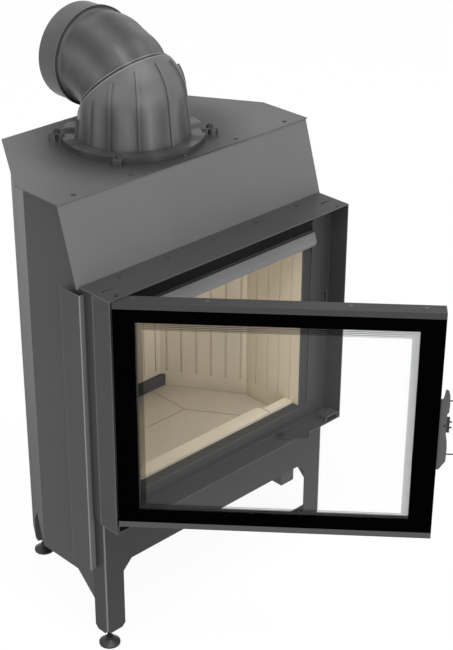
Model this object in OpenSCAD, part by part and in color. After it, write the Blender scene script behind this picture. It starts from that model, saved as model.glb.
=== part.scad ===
// Fireplace insert: steel casing on levelling feet, lined firebox, swinging glass
// door, and a cast flue outlet that turns on the top plate.
// X points right, Y points back, Z points up. The floor is at z = 0 and the front
// edge of the surround is at y = 0. The door is drawn part open.

/* [Casing] */

// half width of the casing, outside its side walls
casing_half_w = 342.6; // [250:0.1:450]
// where the side wall meets the chamfer wall, back from the surround
casing_corner_y = 269.4; // [150:0.1:400]
// half width of the rear wall
casing_rear_half_w = 211.5; // [120:0.1:300]
// outer face of the rear wall
casing_rear_y = 488.8; // [300:0.1:700]
// bottom edge of the walls above the floor
casing_bottom_z = 168; // [80:0.5:300]
// thickness of the casing sheet
casing_t = 2.5; // [1.5:0.1:4]
// upper face of the top plate above the floor
top_z = 1055.5; // [700:0.5:1500]
// thickness of the top plate
top_t = 3; // [2:0.5:6]
// half width of the top plate
top_half_w = 356.5; // [260:0.5:470]
// front edge of the top plate
top_front_y = 140; // [60:0.5:300]
// where the top plate's side meets its chamfer
top_corner_y = 278; // [150:0.5:400]
// half width of the top plate's rear edge
top_rear_half_w = 219.3; // [120:0.1:320]
// rear edge of the top plate
top_rear_y = 503; // [300:0.5:720]

/* [Hood] */

// half width of the sloping hood panel
hood_half_w = 355; // [250:0.5:470]
// outer face of the hood at its foot
hood_foot_y = 93.4; // [50:0.1:200]
// outer face of the hood at its top
hood_top_y = 142.2; // [80:0.1:300]
// depth of the hood's upper flange
hood_flange_d = 42; // [20:0.5:80]
// front edge of the hood's lower flange
hood_foot_flange_y = 56; // [30:0.5:90]

/* [Surround] */

// half width of the surround
surround_half_w = 350; // [250:0.5:450]
// upper face of the surround's top sheet
surround_top_z = 890.8; // [600:0.1:1200]
// underside of the surround's bottom sheet
surround_bottom_z = 338; // [200:0.5:500]
// depth of the surround's sides
surround_d = 50.5; // [30:0.1:120]
// thickness of the surround's sheets
surround_t = 2; // [1:0.1:4]
// distance between the screws on the top sheet
top_screw_pitch = 130; // [80:1:200]
// screw row of the top sheet
top_screw_y = 72; // [50:0.5:90]

/* [Front frame] */

// front face of the flanges beside the surround
flange_y = 80; // [60:0.5:120]
// inner edge of those flanges, from the centre
flange_inner_x = 300; // [200:0.5:330]
// screws of those flanges, from the centre
flange_screw_x = 336; // [300:0.5:350]
// lowest screw of those flanges
flange_screw_z = 385; // [300:1:500]
// distance between those screws
flange_screw_pitch = 201; // [100:1:300]
// outer face of the side strips, from the centre
strip_x = 356.5; // [340:0.5:400]
// front face of the side strips
strip_y = 84; // [60:0.5:120]
// depth of the side strips
strip_d = 61; // [30:0.5:120]
// lower end of the side strips
strip_bottom_z = 204; // [100:0.5:400]
// upper end of the side strips
strip_top_z = 875; // [600:0.5:1100]
// front face of the door seat plate
seat_y = 50.5; // [40:0.1:80]
// thickness of the door seat plate
seat_t = 3; // [2:0.1:6]
// how far the seat's raised rim stands forward
seat_rim_h = 3.5; // [1:0.1:8]
// half width of the firebox mouth
mouth_half_w = 289; // [200:0.5:330]
// lower edge of the firebox mouth
mouth_bottom_z = 380; // [300:0.5:500]
// upper edge of the firebox mouth
mouth_top_z = 846; // [600:0.5:1000]
// depth of the sill behind the seat plate
sill_d = 20; // [10:0.5:60]

/* [Legs and feet] */

// front face of the apron and its legs
apron_y = 52.75; // [40:0.25:100]
// half width over the front legs
leg_half_w = 342.6; // [250:0.1:450]
// width of a front leg
leg_w = 52; // [30:0.5:90]
// depth of a front leg's side flange
leg_d = 41.5; // [25:0.5:90]
// bottom of the front legs
leg_bottom_z = 36; // [20:0.5:80]
// chamfer at the bottom of the front legs
leg_chamfer = 9; // [3:0.5:20]
// lower edge of the apron between the legs
apron_bottom_z = 210; // [120:0.5:320]
// width of a rear leg strip
rear_leg_w = 60; // [30:0.5:100]
// bottom of the rear leg strips
rear_leg_bottom_z = 50; // [30:0.5:90]
// front feet, from the centre and back from the surround
front_foot_at = [327, 66];
// rear feet, from the centre and back from the surround
rear_foot_at = [212, 447];
// radius of a foot's disc
foot_r = 24; // [12:0.5:40]
// radius of a foot's threaded stem
foot_stem_r = 5; // [3:0.5:10]
// length of a foot's stem above the floor
foot_stem_z = 92; // [60:1:140]

/* [Firebox] */

// half width between the side linings
lining_half_w = 265; // [180:0.5:320]
// where the side lining meets the chamfer lining
lining_corner_y = 231; // [120:0.5:350]
// half width of the rear lining
lining_rear_half_w = 147; // [80:0.5:220]
// face of the rear lining
lining_rear_y = 412; // [250:0.5:600]
// front edge of the side linings
lining_front_y = 58; // [50:0.5:100]
// thickness of the lining boards
lining_t = 28; // [15:0.5:50]
// upper edge of the lining boards
lining_top_z = 862; // [600:0.5:1000]
// upper face of the hearth bricks
hearth_z = 338; // [200:0.5:450]
// thickness of the hearth bricks
brick_t = 30; // [20:0.5:50]
// distance between the grooves of the lining
groove_pitch = 37.2; // [15:0.1:80]
// width of a groove
groove_w = 4; // [1:0.1:10]
// depth of a groove
groove_d = 3; // [1:0.1:10]
// height above the hearth where the grooves start
groove_start_h = 42; // [0:1:150]
// thickness of the firebox sheet
shell_t = 4; // [2:0.5:8]
// half width of the middle hearth bricks at the back
brick_mid_half_w = 108; // [60:0.5:200]
// joint between the two middle bricks
brick_joint_y = 283; // [150:0.5:380]
// half length of the log guard
guard_half_w = 187; // [100:0.5:260]
// front face of the log guard
guard_y = 76; // [60:0.5:120]
// depth of the log guard
guard_d = 37; // [15:0.5:60]
// height of the log guard
guard_h = 47; // [20:0.5:90]
// height of the rear air bar
air_bar_h = 30; // [10:0.5:60]
// depth of the rear air bar
air_bar_d = 10; // [4:0.5:30]

/* [Door] */

// opening angle that the door is drawn at
door_open_deg = 47.7; // [0:0.1:100]
// hinge axis, from the centre and back from the surround
hinge_at = [-322, 10];
// width of the glass
glass_w = 655; // [400:0.5:900]
// height of the glass
glass_h = 502; // [300:0.5:800]
// thickness of the glass
glass_t = 4; // [3:0.5:6]
// lower edge of the glass above the floor
glass_bottom_z = 372; // [250:0.5:500]
// left edge of the glass with the door shut
glass_left_x = -329; // [-450:0.5:-200]
// outer face of the glass with the door shut
glass_front_y = -14; // [-40:0.5:0]
// depth of the door's top and bottom rails
rail_d = 34; // [20:0.5:60]
// upper face of the top rail
rail_top_z = 887.8; // [600:0.1:1200]
// underside of the bottom rail
rail_bottom_z = 358; // [250:0.5:500]
// thickness of the door's sheet metal
door_t = 2.5; // [1.5:0.1:4]
// width of the black border of the glass, left and right
border_w = 44; // [20:0.5:80]
// radius of the rope seal
rope_r = 5.3; // [3:0.1:8]
// radius of the hinge pins
hinge_pin_r = 4; // [2.5:0.1:8]

/* [Flue outlet] */

// flue axis, back from the surround
flue_y = 321; // [200:0.5:420]
// outer radius of the cast flange
flue_flange_r = 157; // [120:0.5:200]
// thickness of the cast flange
flue_flange_t = 11; // [5:0.5:20]
// radius of the drum at its foot
drum_foot_r = 124; // [90:0.5:160]
// radius of the drum at its top
drum_top_r = 115.5; // [80:0.5:150]
// height of the dome's centre above the floor
dome_z = 1149; // [900:0.5:1400]
// distance from the dome's centre to the slanted joint
dome_to_joint = 30; // [10:0.1:60]
// radius of the bend along the elbow's centre line
bend_r = 125; // [110:0.5:200]
// outer radius of the elbow's tube
elbow_r = 104; // [70:0.5:140]
// distance from the end of the bend to the outlet's bead
bead_run = 16.2; // [8:0.1:60]
// distance from the end of the bend to the outlet's end
outlet_run = 72.2; // [60:0.1:150]
// outer radius of the outlet
outlet_r = 108; // [70:0.5:140]
// bore radius of the outlet's pipe socket
outlet_bore_r = 101; // [60:0.5:130]
// depth of the outlet's pipe socket
outlet_bore_d = 52; // [20:1:90]
// wall of the castings
cast_t = 7; // [4:0.5:12]
// directions of the drum's ribs around the flue axis
rib_deg = [0, 30, 150, 180, 205, 235, 270, 305, 335];
// width of a rib
rib_w = 5.5; // [3:0.5:15]
// how far a rib stands out
rib_h = 5; // [2:0.5:12]
// distance from the slanted joint to the top of a rib
rib_drop = 20; // [5:1:60]
// directions of the flue clamps around the flue axis
clamp_deg = [38, 142, 218, 322];

/* [Air control] */

// lever pivot, from the centre and back from the surround
lever_at = [182, 33];
// length of the lever from its pivot
lever_len = 66; // [40:1:140]
// width of the lever
lever_w = 29; // [10:0.5:50]
// direction that the lever is drawn at
lever_deg = -43; // [-90:1:0]
// centre of the outside air spigot
spigot_at = [0, 200];
// outer radius of the outside air spigot
spigot_r = 62; // [40:0.5:80]
// length of the outside air spigot
spigot_len = 45; // [20:1:90]

/* [Hidden] */

$fn = 96;

// cuts run past the faces that they open by this much
overrun = 1;
// seated parts that don't share a face stay this far apart
gap = 0.2;

steel_grey = [0.29, 0.29, 0.30];
cast_grey = [0.26, 0.26, 0.27];
board_beige = [0.63, 0.58, 0.49];
zinc_grey = [0.62, 0.63, 0.64];
black_paint = [0.06, 0.06, 0.06];
glass_tint = [0.75, 0.80, 0.80, 0.35];
rope_grey = [0.30, 0.29, 0.28];

top_under_z = top_z - top_t;
surround_under_z = surround_top_z - surround_t;
surround_floor_z = surround_bottom_z + surround_t;
shell_floor_z = hearth_z - brick_t;
seat_back_y = seat_y + seat_t;

// screw sizes
screw_head_r = 4.5;
screw_head_h = 2.4;
screw_shank_r = 2;
screw_hole_r = 2.2;
screw_len = 4.6;
top_plate_screw_y = 157;
top_plate_screw_pitch = 151;

// Plan outline of a six-sided box that is open to the front, grown outwards.
// half width, corner y, rear half width, rear y, front y, growth
function six_sided(w, yb, wr, yr, yf, grow) =
    let (run = sqrt((w - wr) * (w - wr) + (yr - yb) * (yr - yb)),
         u = (wr - w) / run, v = (yr - yb) / run,
         by = yb + grow * (v - 1) / u, ax = wr + grow * (1 + u) / v)
    [[-w - grow, yf], [w + grow, yf], [w + grow, by], [ax, yr + grow],
     [-ax, yr + grow], [-w - grow, by]];

function lining_outline(yf, grow) =
    six_sided(lining_half_w, lining_corner_y, lining_rear_half_w, lining_rear_y,
              yf, grow);

// A straight box between two corners.
module block(low, high) {
    translate(low) cube(high - low);
}

// A plan outline standing between two heights.
module plan_prism(points, z0, z1) {
    translate([0, 0, z0]) linear_extrude(z1 - z0) polygon(points);
}

// A side profile in Y and Z between two X positions.
module side_prism(points, x0, x1) {
    translate([x0, 0, 0]) rotate([90, 0, 90]) linear_extrude(x1 - x0) polygon(points);
}

// A front profile in X and Z between two Y positions.
module front_prism(points, y0, y1) {
    translate([0, y1, 0]) rotate([90, 0, 0]) linear_extrude(y1 - y0) polygon(points);
}

module left_side() {
    mirror([1, 0, 0]) children();
}

module both_sides() {
    children();
    left_side() children();
}

// A pan head screw that points down, its head resting on z = 0.
module screw_down() {
    cylinder(r = screw_head_r, h = screw_head_h);
    translate([0, 0, -screw_len]) cylinder(r = screw_shank_r, h = screw_len + screw_head_h);
}

// Casing.

module top_plate() {
    outline = six_sided(top_half_w, top_corner_y, top_rear_half_w, top_rear_y,
                        top_front_y, 0);
    color(steel_grey) difference() {
        plan_prism(outline, top_under_z, top_z);
        translate([0, flue_y, top_under_z - overrun])
            cylinder(r = flue_hole_r, h = top_t + 2 * overrun);
        for (i = [-2 : 2])
            translate([i * top_plate_screw_pitch, top_plate_screw_y, top_under_z - overrun])
                cylinder(r = screw_hole_r, h = top_t + 2 * overrun);
        at_clamps() translate([clamp_bolt_run, 0, top_under_z - overrun])
            cylinder(r = clamp_hole_r, h = top_t + 2 * overrun);
    }
}

flue_hole_r = 106;
clamp_bolt_run = 166;
clamp_hole_r = 4.2;

module at_clamps() {
    for (a = clamp_deg) translate([0, flue_y, 0]) rotate([0, 0, a]) children();
}

gusset_front_y = apron_y + leg_d + gap;
gusset_front_z = 116.5;
gusset_rear_y = 148.8;

function hood_y(z) =
    hood_foot_y + (hood_top_y - hood_foot_y) * (z - surround_top_z)
    / (top_under_z - surround_top_z);

module side_wall() {
    hood_run = 3.4;
    upper_z = surround_under_z - casing_t - gap;
    profile = [
        [gusset_front_y, gusset_front_z], [gusset_rear_y, casing_bottom_z],
        [casing_corner_y, casing_bottom_z], [casing_corner_y, top_under_z],
        [hood_y(top_under_z) + hood_run, top_under_z],
        [hood_y(upper_z) + hood_run, upper_z], [flange_y + casing_t + gap, upper_z],
        [flange_y + casing_t + gap, surround_bottom_z],
        [gusset_front_y, surround_bottom_z]];
    inner_x = casing_half_w - casing_t;
    mitre = casing_t * 0.6;
    plan = [
        [inner_x, 0], [casing_half_w, 0], [casing_half_w, casing_corner_y - gap],
        [inner_x, casing_corner_y - mitre - gap]];
    color(steel_grey) intersection() {
        side_prism(profile, inner_x - overrun, casing_half_w + overrun);
        plan_prism(plan, 0, top_z);
    }
}

module side_wall_left() left_side() side_wall();
module side_wall_right() side_wall();

chamfer_run = sqrt(pow(casing_half_w - casing_rear_half_w, 2)
                   + pow(casing_rear_y - casing_corner_y, 2));
chamfer_deg = atan2(casing_rear_y - casing_corner_y, casing_rear_half_w - casing_half_w);

// Local X runs along the chamfer wall from the side wall to the rear wall,
// and local Y points into the casing.
module on_chamfer() {
    translate([casing_half_w, casing_corner_y, 0]) rotate([0, 0, chamfer_deg]) children();
}

module chamfer_wall() {
    strip_x0 = chamfer_run - rear_leg_w;
    gusset = 58;
    profile = [
        [0, casing_bottom_z], [strip_x0 - gusset, casing_bottom_z],
        [strip_x0, casing_bottom_z - gusset], [strip_x0, rear_leg_bottom_z],
        [chamfer_run, rear_leg_bottom_z], [chamfer_run, top_under_z], [0, top_under_z]];
    color(steel_grey) on_chamfer() front_prism(profile, 0, casing_t);
}

module chamfer_wall_left() left_side() chamfer_wall();
module chamfer_wall_right() chamfer_wall();

module rear_wall() {
    mitre = casing_t * 1.7;
    slack = 2 * gap;
    outline = [
        [slack - casing_rear_half_w, casing_rear_y], [casing_rear_half_w - slack, casing_rear_y],
        [casing_rear_half_w - slack - mitre, casing_rear_y - casing_t],
        [slack + mitre - casing_rear_half_w, casing_rear_y - casing_t]];
    color(steel_grey) plan_prism(outline, casing_bottom_z, top_under_z);
}

module hood_panel() {
    slope_t = casing_t * 1.05;
    flange_half_w = casing_half_w - casing_t - gap;
    foot_z = surround_under_z;
    slope = [
        [hood_y(foot_z - casing_t), foot_z - casing_t], [hood_y(top_under_z), top_under_z],
        [hood_y(top_under_z) + slope_t, top_under_z],
        [hood_y(foot_z - casing_t) + slope_t, foot_z - casing_t]];
    color(steel_grey) difference() {
        union() {
            side_prism(slope, -hood_half_w, hood_half_w);
            block([-flange_half_w, hood_foot_flange_y, foot_z - casing_t],
                  [flange_half_w, hood_y(foot_z) + casing_t, foot_z]);
            block([-flange_half_w, hood_top_y, top_under_z - casing_t],
                  [flange_half_w, hood_top_y + hood_flange_d, top_under_z]);
        }
        for (i = [-2 : 2]) {
            translate([i * top_plate_screw_pitch, top_plate_screw_y, top_under_z - casing_t - overrun])
                cylinder(r = screw_hole_r, h = casing_t + 2 * overrun);
            translate([i * top_screw_pitch, top_screw_y, foot_z - casing_t - overrun])
                cylinder(r = screw_hole_r, h = casing_t + 2 * overrun);
        }
    }
}

module front_flange() {
    flange_top_z = surround_under_z - casing_t - gap;
    web_x = casing_half_w + gap;
    color(steel_grey) difference() {
        union() {
            block([flange_inner_x, flange_y, surround_bottom_z],
                  [web_x + casing_t, flange_y + casing_t, flange_top_z]);
            block([web_x, seat_back_y, surround_floor_z],
                  [web_x + casing_t, flange_y + casing_t, flange_top_z]);
        }
        at_flange_screws() translate([0, 0, -overrun])
            cylinder(r = screw_hole_r, h = casing_t + 2 * overrun);
    }
}

// Screws point back; local Z points along world Y from the flange's front face.
module at_flange_screws() {
    for (i = [0 : 2])
        translate([flange_screw_x, flange_y, flange_screw_z + i * flange_screw_pitch])
            rotate([-90, 0, 0]) children();
}

module front_flange_left() left_side() front_flange();
module front_flange_right() front_flange();

module side_strip() {
    color(steel_grey) {
        block([strip_x - casing_t, strip_y, strip_bottom_z], [strip_x, strip_y + strip_d, strip_top_z]);
        block([casing_half_w, strip_y, strip_bottom_z], [strip_x, strip_y + casing_t, strip_top_z]);
    }
}

module side_strip_left() left_side() side_strip();
module side_strip_right() side_strip();

// Legs and feet.

foot_hole_r = 5.2;

module front_apron() {
    inner_x = leg_half_w - leg_w;
    top = surround_bottom_z - gap;
    corner = 24;
    profile = [
        [-leg_half_w, top], [-leg_half_w, leg_bottom_z + leg_chamfer],
        [leg_chamfer - leg_half_w, leg_bottom_z], [-inner_x - leg_chamfer, leg_bottom_z],
        [-inner_x, leg_bottom_z + leg_chamfer], [-inner_x, apron_bottom_z - corner],
        [corner - inner_x, apron_bottom_z], [inner_x - corner, apron_bottom_z],
        [inner_x, apron_bottom_z - corner], [inner_x, leg_bottom_z + leg_chamfer],
        [inner_x + leg_chamfer, leg_bottom_z], [leg_half_w - leg_chamfer, leg_bottom_z],
        [leg_half_w, leg_bottom_z + leg_chamfer], [leg_half_w, top]];
    side = [
        [apron_y, top], [apron_y, leg_bottom_z + leg_chamfer],
        [apron_y + leg_chamfer, leg_bottom_z], [apron_y + leg_d - leg_chamfer, leg_bottom_z],
        [apron_y + leg_d, leg_bottom_z + leg_chamfer], [apron_y + leg_d, top]];
    color(steel_grey) difference() {
        union() {
            front_prism(profile, apron_y, apron_y + casing_t);
            both_sides() {
                side_prism(side, leg_half_w - casing_t, leg_half_w);
                block([inner_x, apron_y, leg_plate_z],
                      [leg_half_w, apron_y + leg_d, leg_plate_z + casing_t]);
            }
        }
        both_sides() translate([front_foot_at[0], front_foot_at[1], leg_plate_z - overrun])
            cylinder(r = foot_hole_r, h = casing_t + 2 * overrun);
    }
}

leg_plate_z = leg_bottom_z + leg_chamfer;
bracket_plate_z = 44;
bracket_w = 46;
bracket_h = 42;

module rear_foot_bracket() {
    plate_d = 44;
    color(steel_grey) difference() {
        on_chamfer() {
            block([chamfer_run - rear_leg_w, casing_t + gap, bracket_plate_z],
                  [chamfer_run - rear_leg_w + bracket_w, 2 * casing_t + gap,
                   bracket_plate_z + bracket_h]);
            block([chamfer_run - rear_leg_w, casing_t + gap, bracket_plate_z],
                  [chamfer_run - rear_leg_w + bracket_w, casing_t + gap + plate_d,
                   bracket_plate_z + casing_t]);
            block([chamfer_run - rear_leg_w, casing_t + gap, bracket_plate_z],
                  [chamfer_run - rear_leg_w + casing_t, casing_t + gap + plate_d,
                   casing_bottom_z]);
        }
        translate([rear_foot_at[0], rear_foot_at[1], bracket_plate_z - overrun])
            cylinder(r = foot_hole_r, h = casing_t + 2 * overrun);
    }
}

module rear_foot_bracket_left() left_side() rear_foot_bracket();
module rear_foot_bracket_right() rear_foot_bracket();

nut_r = 9.2;
nut_h = 8;

// A nut that is welded on a foot's plate.
module weld_nut(at, plate_z) {
    difference() {
        translate([at[0], at[1], plate_z]) cylinder(r = nut_r, h = nut_h, $fn = 6);
        translate([at[0], at[1], plate_z - overrun])
            cylinder(r = foot_stem_r + thread_play, h = nut_h + 2 * overrun);
    }
}

thread_play = 0.08;

module weld_nuts() {
    color(zinc_grey) both_sides() {
        weld_nut(front_foot_at, leg_plate_z + casing_t);
        weld_nut(rear_foot_at, bracket_plate_z + casing_t);
    }
}

module foot(at) {
    disc_h = 4;
    cone_h = 9;
    neck_r = 9;
    boss_h = 6;
    color(zinc_grey) translate([at[0], at[1], 0]) {
        cylinder(r = foot_r, h = disc_h);
        translate([0, 0, disc_h]) cylinder(r1 = foot_r, r2 = neck_r, h = cone_h);
        translate([0, 0, disc_h + cone_h]) cylinder(r = neck_r, h = boss_h, $fn = 6);
        cylinder(r = foot_stem_r, h = foot_stem_z);
    }
}

module foot_front_left() left_side() foot(front_foot_at);
module foot_front_right() foot(front_foot_at);
module foot_rear_left() left_side() foot(rear_foot_at);
module foot_rear_right() foot(rear_foot_at);

// Surround.

slot_arc_r = 35;
slot_half_w = 2.5;
slot_from_deg = 58;
slot_to_deg = 112;
pin_play = 0.06;

// An arc slot around the hinge axis, cut through the top sheet.
module arc_slot() {
    translate([hinge_at[0], hinge_at[1], surround_under_z - overrun])
        rotate([0, 0, slot_from_deg])
            rotate_extrude(angle = slot_to_deg - slot_from_deg)
                translate([slot_arc_r - slot_half_w, 0])
                    square([2 * slot_half_w, surround_t + 2 * overrun]);
}

module surround_top() {
    color(steel_grey) difference() {
        block([-surround_half_w, 0, surround_under_z],
              [surround_half_w, hood_y(surround_under_z) - gap, surround_top_z]);
        both_sides() {
            arc_slot();
            translate([hinge_at[0], hinge_at[1], surround_under_z - overrun])
                cylinder(r = hinge_pin_r + pin_play, h = surround_t + 2 * overrun);
        }
        for (i = [-2 : 2])
            translate([i * top_screw_pitch, top_screw_y, surround_under_z - overrun])
                cylinder(r = screw_hole_r, h = surround_t + 2 * overrun);
    }
}

module surround_bottom() {
    color(steel_grey) difference() {
        block([-surround_half_w, 0, surround_bottom_z],
              [surround_half_w, surround_d, surround_floor_z]);
        translate([lever_at[0], lever_at[1], surround_bottom_z - overrun])
            cylinder(r = lever_pin_r + pin_play, h = surround_t + 2 * overrun);
    }
}

module surround_side() {
    color(steel_grey)
        block([surround_half_w - surround_t, 0, surround_floor_z],
              [surround_half_w, surround_d, surround_under_z]);
}

module surround_left() left_side() surround_side();
module surround_right() surround_side();

hinge_plate_z = 355;
hinge_plate_t = 2.5;

// Bridges on the bottom sheet that carry the lower hinge pin, one on each side so
// that the door can be hung either way.
module hinge_plates() {
    x0 = -344;
    x1 = -304;
    y0 = 1.5;
    y1 = 26;
    color(steel_grey) both_sides() difference() {
        union() {
            block([x0, y0, hinge_plate_z - hinge_plate_t], [x1, y1, hinge_plate_z]);
            block([x0, y0, surround_floor_z], [x0 + hinge_plate_t, y1, hinge_plate_z]);
            block([x1 - hinge_plate_t, y0, surround_floor_z], [x1, y1, hinge_plate_z]);
        }
        translate([hinge_at[0], hinge_at[1], hinge_plate_z - hinge_plate_t - overrun])
            cylinder(r = hinge_pin_r + pin_play, h = hinge_plate_t + 2 * overrun);
    }
}

// Door seat and firebox.

column_outer_x = 345;
latch_slot_w = 11;
latch_slot_low = 12;
latch_slot_high = 30;

// A seat side, bulged forward so that the rope seal meets its crest.
module seat_column() {
    half = (column_outer_x - mouth_half_w) / 2;
    bulge_r = (half * half + seat_rim_h * seat_rim_h) / (2 * seat_rim_h);
    intersection() {
        translate([mouth_half_w + half, seat_y - seat_rim_h + bulge_r, surround_floor_z + gap])
            cylinder(r = bulge_r, h = surround_under_z - surround_floor_z - casing_t - 3 * gap,
                     $fn = 180);
        block([mouth_half_w, seat_y - seat_rim_h - overrun, 0],
              [column_outer_x, seat_y + seat_t / 2, top_z]);
    }
}

module seat_frame() {
    plate_top_z = surround_under_z - casing_t - 2 * gap;
    plate_half_w = surround_half_w;
    rim_h = 18;
    rim_top_z = 856;
    strip_back_y = lining_front_y - gap;
    strip_lap = 3.5;
    color(steel_grey) difference() {
        union() {
            block([-plate_half_w, seat_y, surround_floor_z + gap],
                  [plate_half_w, seat_back_y, plate_top_z]);
            both_sides() seat_column();
            block([-mouth_half_w - overrun, seat_y - seat_rim_h, mouth_bottom_z - rim_h],
                  [mouth_half_w + overrun, seat_y + overrun, mouth_bottom_z]);
            block([-mouth_half_w - overrun, seat_y - seat_rim_h, rim_top_z],
                  [mouth_half_w + overrun, seat_y + overrun, rim_top_z + rim_h]);
            block([-mouth_half_w, seat_y, mouth_bottom_z - seat_t],
                  [mouth_half_w, strip_back_y, mouth_bottom_z]);
            block([gap - lining_half_w, seat_y, mouth_bottom_z - seat_t],
                  [lining_half_w - gap, seat_back_y + sill_d, mouth_bottom_z]);
            both_sides()
                block([lining_half_w + gap, seat_back_y - gap, mouth_bottom_z - seat_t],
                      [mouth_half_w + strip_lap, strip_back_y, bar_shelf_z - gap]);
        }
        block([-mouth_half_w, seat_y - seat_rim_h - overrun, mouth_bottom_z],
              [mouth_half_w, seat_back_y + overrun, mouth_top_z]);
        translate([latch_x(), 0, latch_z])
            block([-latch_slot_w / 2, seat_y - seat_rim_h - overrun, -latch_slot_low],
                  [latch_slot_w / 2, seat_back_y + overrun, latch_slot_high]);
    }
}

throat_run = 104;

module firebox_shell() {
    notch_z = top_under_z - casing_t - gap;
    foot_z = surround_under_z - casing_t - gap;
    slope_y0 = hood_y(foot_z) + casing_t * 2;
    slope_y1 = hood_y(notch_z) + casing_t * 2;
    notch_y = hood_top_y + hood_flange_d + gap;
    far_y = lining_rear_y + lining_t + shell_t + overrun;
    front_y = apron_y + casing_t + gap;
    profile = [
        [front_y, shell_floor_z], [front_y, surround_bottom_z],
        [seat_back_y + gap, surround_bottom_z], [seat_back_y + gap, foot_z],
        [slope_y0, foot_z], [slope_y1, notch_z], [notch_y, notch_z],
        [notch_y, top_under_z], [far_y, top_under_z], [far_y, shell_floor_z]];
    throat = [
        [seat_back_y + gap, foot_z - shell_t], [seat_back_y + gap, foot_z],
        [slope_y0, foot_z], [slope_y1, notch_z], [slope_y1 + shell_t, notch_z],
        [slope_y0 + shell_t, foot_z - shell_t]];
    half_w = lining_half_w + lining_t;
    color(steel_grey) union() {
        intersection() {
            side_prism(profile, -casing_half_w, casing_half_w);
            difference() {
                plan_prism(lining_outline(0, lining_t + shell_t), shell_floor_z, top_under_z);
                plan_prism(lining_outline(-overrun, lining_t), shell_floor_z - overrun,
                           top_under_z + overrun);
            }
        }
        side_prism(throat, -half_w - overrun, half_w + overrun);
    }
}

module firebox_floor() {
    color(steel_grey) difference() {
        plan_prism(lining_outline(apron_y + casing_t + gap, lining_t + shell_t),
                   shell_floor_z - shell_t, shell_floor_z);
        air_slots();
    }
}

// Slots that let air rise from the air box behind the sill.
module air_slots() {
    near_x = 16;
    far_x = 140;
    y0 = 60;
    y1 = 71;
    both_sides()
        block([near_x, y0, shell_floor_z - 2 * shell_t], [far_x, y1, shell_floor_z + overrun]);
}

// Grooves along one lining face, from the first to the last position on it.
module grooves(first, last, face) {
    count = floor((last - first) / groove_pitch + groove_rounding);
    start = (first + last - count * groove_pitch) / 2;
    for (i = [0 : count])
        block([start + i * groove_pitch - groove_w / 2, face - overrun, hearth_z + groove_start_h],
              [start + i * groove_pitch + groove_w / 2, face + groove_d, lining_top_z + overrun]);
}

groove_rounding = 0.3;

module lining_side() {
    inner = lining_outline(lining_front_y, 0);
    outer = lining_outline(lining_front_y, lining_t - gap);
    outline = [inner[1], outer[1], outer[2], inner[2]];
    color(board_beige) difference() {
        plan_prism(outline, shell_floor_z, lining_top_z);
        rotate([0, 0, -90])
            grooves(18 - lining_corner_y, -lining_front_y - 18, lining_half_w);
    }
}

module lining_side_left() left_side() lining_side();
module lining_side_right() lining_side();

lining_chamfer_run = sqrt(pow(lining_half_w - lining_rear_half_w, 2)
                          + pow(lining_rear_y - lining_corner_y, 2));
lining_chamfer_deg = atan2(lining_rear_y - lining_corner_y,
                           lining_rear_half_w - lining_half_w);

module lining_chamfer() {
    inner = lining_outline(lining_front_y, 0);
    outer = lining_outline(lining_front_y, lining_t - gap);
    step = gap * [cos(lining_chamfer_deg), sin(lining_chamfer_deg)];
    outline = [inner[2] + step, outer[2] + step, outer[3] - step, inner[3] - step];
    edge = 15;
    color(board_beige) difference() {
        plan_prism(outline, shell_floor_z, lining_top_z);
        translate([lining_half_w, lining_corner_y, 0])
            rotate([0, 0, lining_chamfer_deg + 180])
                grooves(edge - lining_chamfer_run, -edge, 0);
    }
}

module lining_chamfer_left() left_side() lining_chamfer();
module lining_chamfer_right() lining_chamfer();

module lining_rear() {
    inner = lining_outline(lining_front_y, 0);
    outer = lining_outline(lining_front_y, lining_t - gap);
    edge = 17;
    color(board_beige) difference() {
        plan_prism([inner[3], outer[3], outer[4], inner[4]], shell_floor_z, lining_top_z);
        grooves(edge - lining_rear_half_w, lining_rear_half_w - edge, lining_rear_y);
    }
}

brick_front_y = 76;
brick_joint = 1.4;
brick_slope = 0.66;

function brick_split_x(y) = brick_mid_half_w + (brick_joint_y - y) * brick_slope;

module brick(points) {
    color(board_beige) plan_prism(points, shell_floor_z, hearth_z);
}

module hearth_centre() {
    x = brick_split_x(brick_front_y) - brick_joint;
    w = brick_mid_half_w - brick_joint;
    y = brick_joint_y - brick_joint;
    brick([[-x, brick_front_y], [x, brick_front_y], [w, y], [-w, y]]);
}

module hearth_rear() {
    w = brick_mid_half_w - brick_joint;
    y = lining_rear_y - brick_joint;
    brick([[-w, brick_joint_y], [w, brick_joint_y], [w, y], [-w, y]]);
}

module hearth_side() {
    inner = lining_outline(brick_front_y, -brick_joint);
    brick([
        [brick_split_x(brick_front_y), brick_front_y], inner[1], inner[2], inner[3],
        [brick_mid_half_w, lining_rear_y - brick_joint], [brick_mid_half_w, brick_joint_y]]);
}

module hearth_left() left_side() hearth_side();
module hearth_right() hearth_side();

module hearth_lip() {
    depth = 22;
    color(board_beige)
        block([guard_half_w + brick_joint, guard_y, hearth_z],
              [lining_half_w - brick_joint, guard_y + depth, hearth_z + guard_h + brick_joint]);
}

module hearth_lip_left() left_side() hearth_lip();
module hearth_lip_right() hearth_lip();

module log_guard() {
    cut = 10;
    outline = [
        [-guard_half_w, guard_y], [guard_half_w, guard_y], [guard_half_w, guard_y + guard_d - cut],
        [guard_half_w - cut, guard_y + guard_d], [cut - guard_half_w, guard_y + guard_d],
        [-guard_half_w, guard_y + guard_d - cut]];
    color(board_beige) plan_prism(outline, hearth_z, hearth_z + guard_h);
}

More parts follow.
